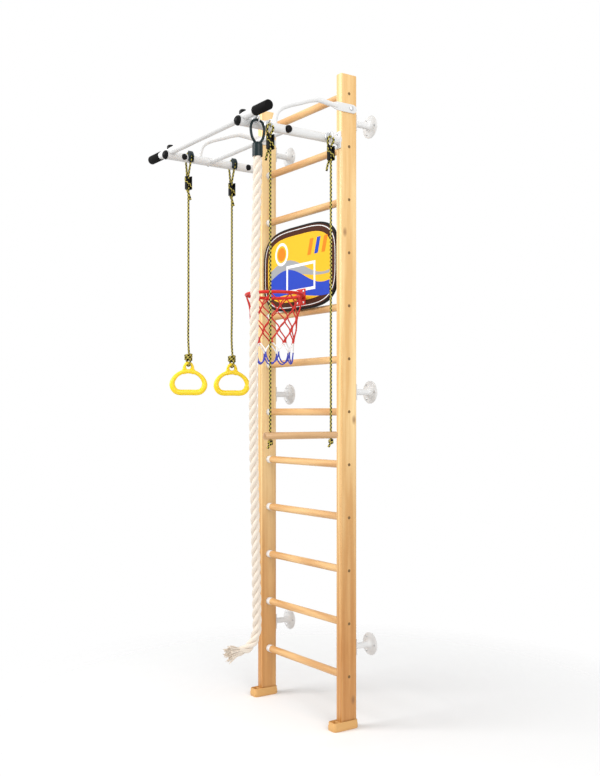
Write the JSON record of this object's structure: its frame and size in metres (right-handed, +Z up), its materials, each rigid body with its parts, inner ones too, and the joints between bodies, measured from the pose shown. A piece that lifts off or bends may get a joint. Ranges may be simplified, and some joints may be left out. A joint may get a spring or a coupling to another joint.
{
  "type": "swedish wall bars",
  "caption": "Wooden wall bars with a steel pull-up frame, gym rings, a trapeze, a climbing rope and a ball board with hoop and net.",
  "frame": {"origin": "in the wall plane at floor level, midway between the uprights", "axes": "+X right seen from the room, +Y into the wall, +Z up"},
  "size_m": [0.8546, 0.633, 2.361],
  "materials": {
    "pine": "clear satin varnish",
    "tan_plastic": "moulded, slightly glossy",
    "white_steel": "white powder coat",
    "black_plastic": "moulded, satin",
    "black_foam": "matt grip sleeve",
    "dark_green_plastic": "glossy moulding",
    "zinc_steel": "zinc plated",
    "yellow_plastic": "glossy moulding",
    "braided_cord": "yellow and black braid",
    "beech": "varnished",
    "cotton_rope": "three-strand natural rope",
    "red_steel": "red powder coat",
    "printed_board": "printed laminated board",
    "net_twine": "knotted twine"
  },
  "bodies": {
    "wall_bars": {"upright_left": "pine", "upright_right": "pine", "rung_01": "pine", "rung_02": "pine", "rung_03": "pine", "rung_04": "pine", "rung_05": "pine", "rung_06": "pine", "rung_07": "pine", "rung_08": "pine", "rung_09": "pine", "rung_10": "pine", "rung_11": "pine", "rung_12": "pine", "foot_left": "tan_plastic", "foot_right": "tan_plastic", "wall_mount_upper_left": "white_steel", "wall_mount_upper_right": "white_steel", "wall_mount_middle_left": "white_steel", "wall_mount_middle_right": "white_steel", "wall_mount_lower_left": "white_steel", "wall_mount_lower_right": "white_steel", "arm_left": "white_steel", "arm_right": "white_steel", "brace_left": "white_steel", "brace_right": "white_steel", "front_bar": "white_steel", "cross_bar": "white_steel", "arm_plug_left": "black_plastic", "arm_plug_right": "black_plastic", "cross_bar_cap_left": "black_plastic", "cross_bar_cap_right": "black_plastic", "front_bar_cap_left": "black_plastic", "front_bar_cap_right": "black_plastic", "grip_left": "black_foam", "grip_right": "black_foam", "front_ring_keeper": "dark_green_plastic", "rear_ring_keeper": "dark_green_plastic", "trapeze_eye_front": "zinc_steel", "trapeze_eye_rear": "zinc_steel", "rope_hook": "zinc_steel", "board_clip_left": "zinc_steel", "board_clip_right": "zinc_steel", "hoop": "red_steel", "hoop_bracket": "red_steel", "backboard": "printed_board", "net": "net_twine"},
    "front_ring_line": {"front_ring_cord": "braided_cord", "front_ring_adjuster": "black_plastic"},
    "front_gym_ring": {"front_ring": "yellow_plastic"},
    "rear_ring_line": {"rear_ring_cord": "braided_cord", "rear_ring_adjuster": "black_plastic"},
    "rear_gym_ring": {"rear_ring": "yellow_plastic"},
    "trapeze": {"trapeze_bar": "beech", "trapeze_cord_front": "braided_cord", "trapeze_cord_rear": "braided_cord", "trapeze_adjuster_front": "black_plastic", "trapeze_adjuster_rear": "black_plastic"},
    "rope": {"rope_eye": "dark_green_plastic", "climbing_rope": "cotton_rope"}
  },
  "joints": [
    {"name": "front_ring_swing", "type": "hinge", "parent": "wall_bars", "child": "front_ring_line", "pos_m": [-0.265, -0.471, 2.12], "axis": [0, 1, 0], "range_deg": [-10, 45]},
    {"name": "front_ring_tilt", "type": "hinge", "parent": "front_ring_line", "child": "front_gym_ring", "pos_m": [-0.265, -0.471, 1.332], "axis": [0.342, 0.9397, 0], "range_deg": [-45, 45]},
    {"name": "rear_ring_swing", "type": "hinge", "parent": "wall_bars", "child": "rear_ring_line", "pos_m": [-0.265, -0.277, 2.12], "axis": [0, 1, 0], "range_deg": [-10, 45]},
    {"name": "rear_ring_tilt", "type": "hinge", "parent": "rear_ring_line", "child": "rear_gym_ring", "pos_m": [-0.265, -0.277, 1.332], "axis": [0.342, 0.9397, 0], "range_deg": [-45, 45]},
    {"name": "trapeze_swing", "type": "hinge", "parent": "wall_bars", "child": "trapeze", "pos_m": [0.2988, -0.3335, 2.12], "axis": [0, -1, 0], "range_deg": [-10, 45]},
    {"name": "rope_swing", "type": "hinge", "parent": "wall_bars", "child": "rope", "pos_m": [0.2988, -0.512, 2.126], "axis": [0, -1, 0], "range_deg": [-10, 40]}
  ]
}
